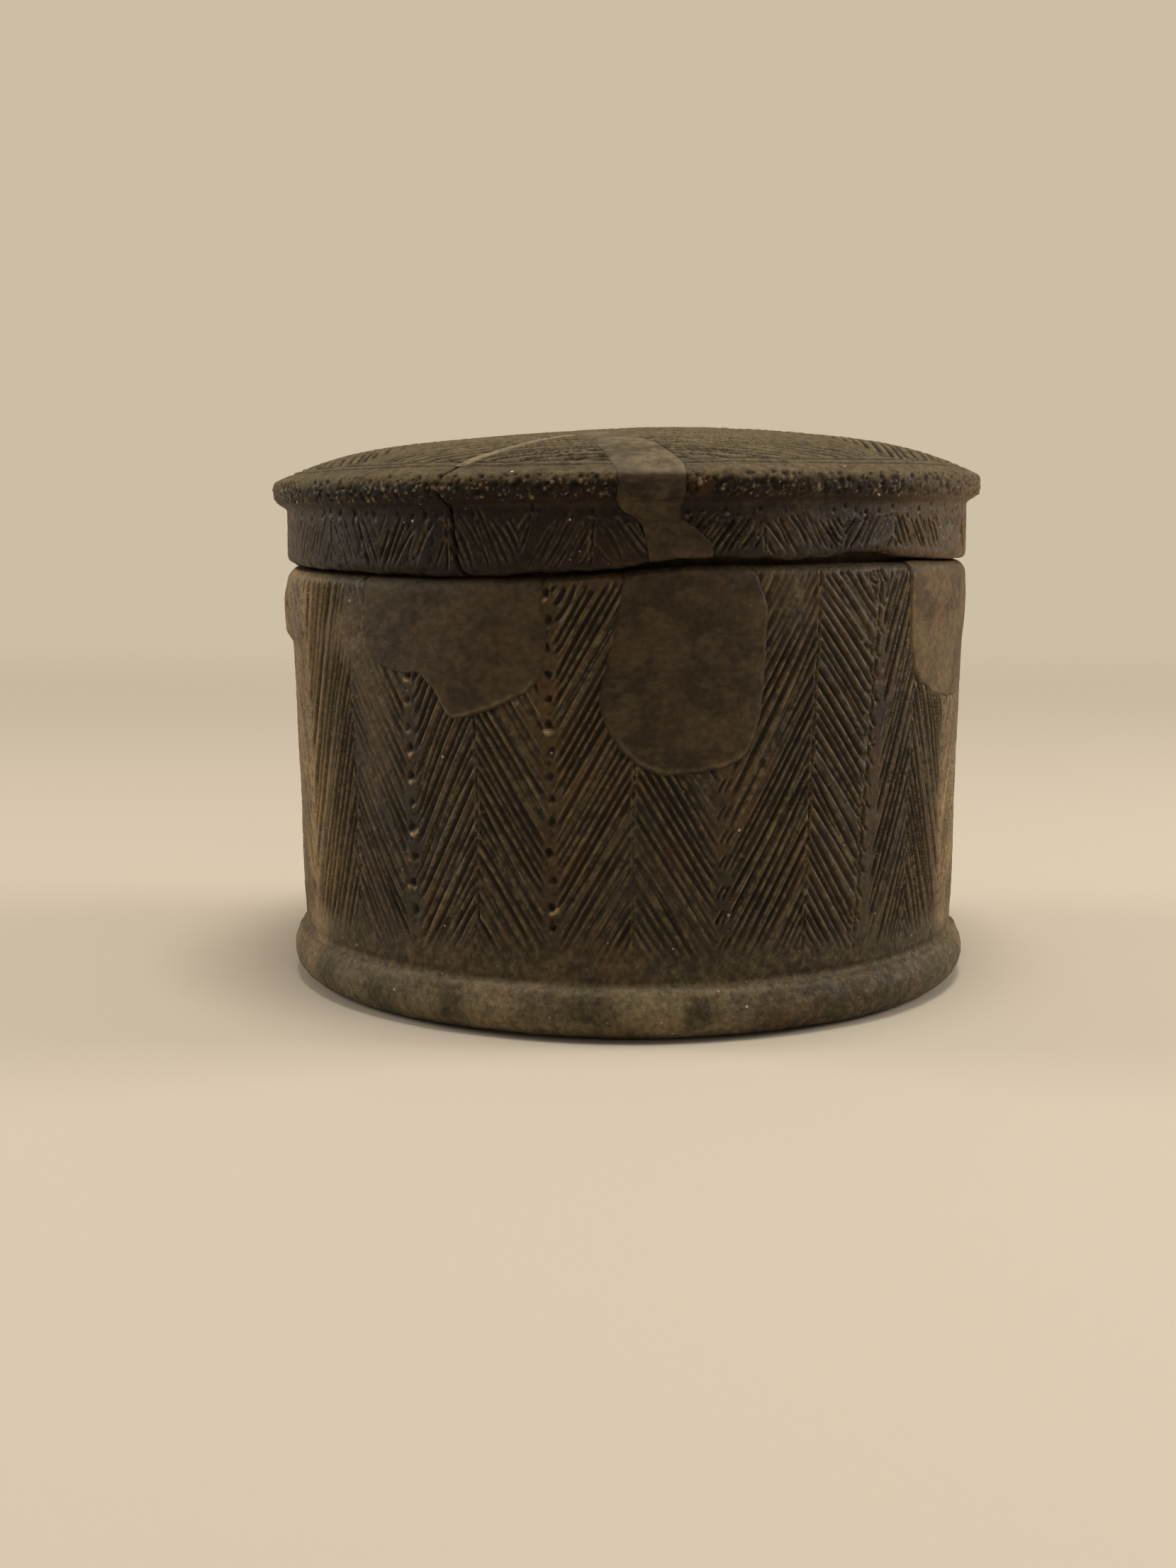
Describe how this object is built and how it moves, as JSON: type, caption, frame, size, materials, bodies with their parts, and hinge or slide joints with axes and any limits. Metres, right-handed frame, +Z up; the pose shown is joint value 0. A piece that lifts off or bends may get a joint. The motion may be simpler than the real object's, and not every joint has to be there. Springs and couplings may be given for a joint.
{
  "type": "lidded ceramic box",
  "caption": "Round lidded box of dark fired clay with incised herringbone; the domed lid lifts off the pot's inset neck.",
  "frame": {"origin": "middle of the flat base, on the surface that the box stands on", "axes": "+Z up along the axis of the pot and the lid, -Y to the side that carries the front mend, +X to the right of it"},
  "size_m": [0.1132, 0.1132, 0.0868],
  "materials": {
    "pot_clay": "unglazed dark fired clay, burnished, worn, with pale grit",
    "pot_plaster": "smooth toned plaster, matt",
    "side_plaster": "smooth toned plaster, tan, matt",
    "lid_clay": "unglazed dark fired clay, gritty and worn",
    "sherd_clay": "unglazed dark fired clay, gritty and worn",
    "lid_plaster": "smooth toned plaster, olive, matt",
    "joint_plaster": "smooth toned plaster, matt"
  },
  "bodies": {
    "pot": {"pot": "pot_clay", "fill_left": "pot_plaster", "fill_front": "pot_plaster", "fill_right": "side_plaster"},
    "lid": {"lid": "lid_clay", "lid_sherd": "sherd_clay", "lid_fill": "lid_plaster", "lid_joint": "joint_plaster"}
  },
  "joints": [
    {"name": "lid_lift", "type": "slide", "parent": "pot", "child": "lid", "axis": [0, 0, 1], "range_m": [0, 0.06]}
  ]
}
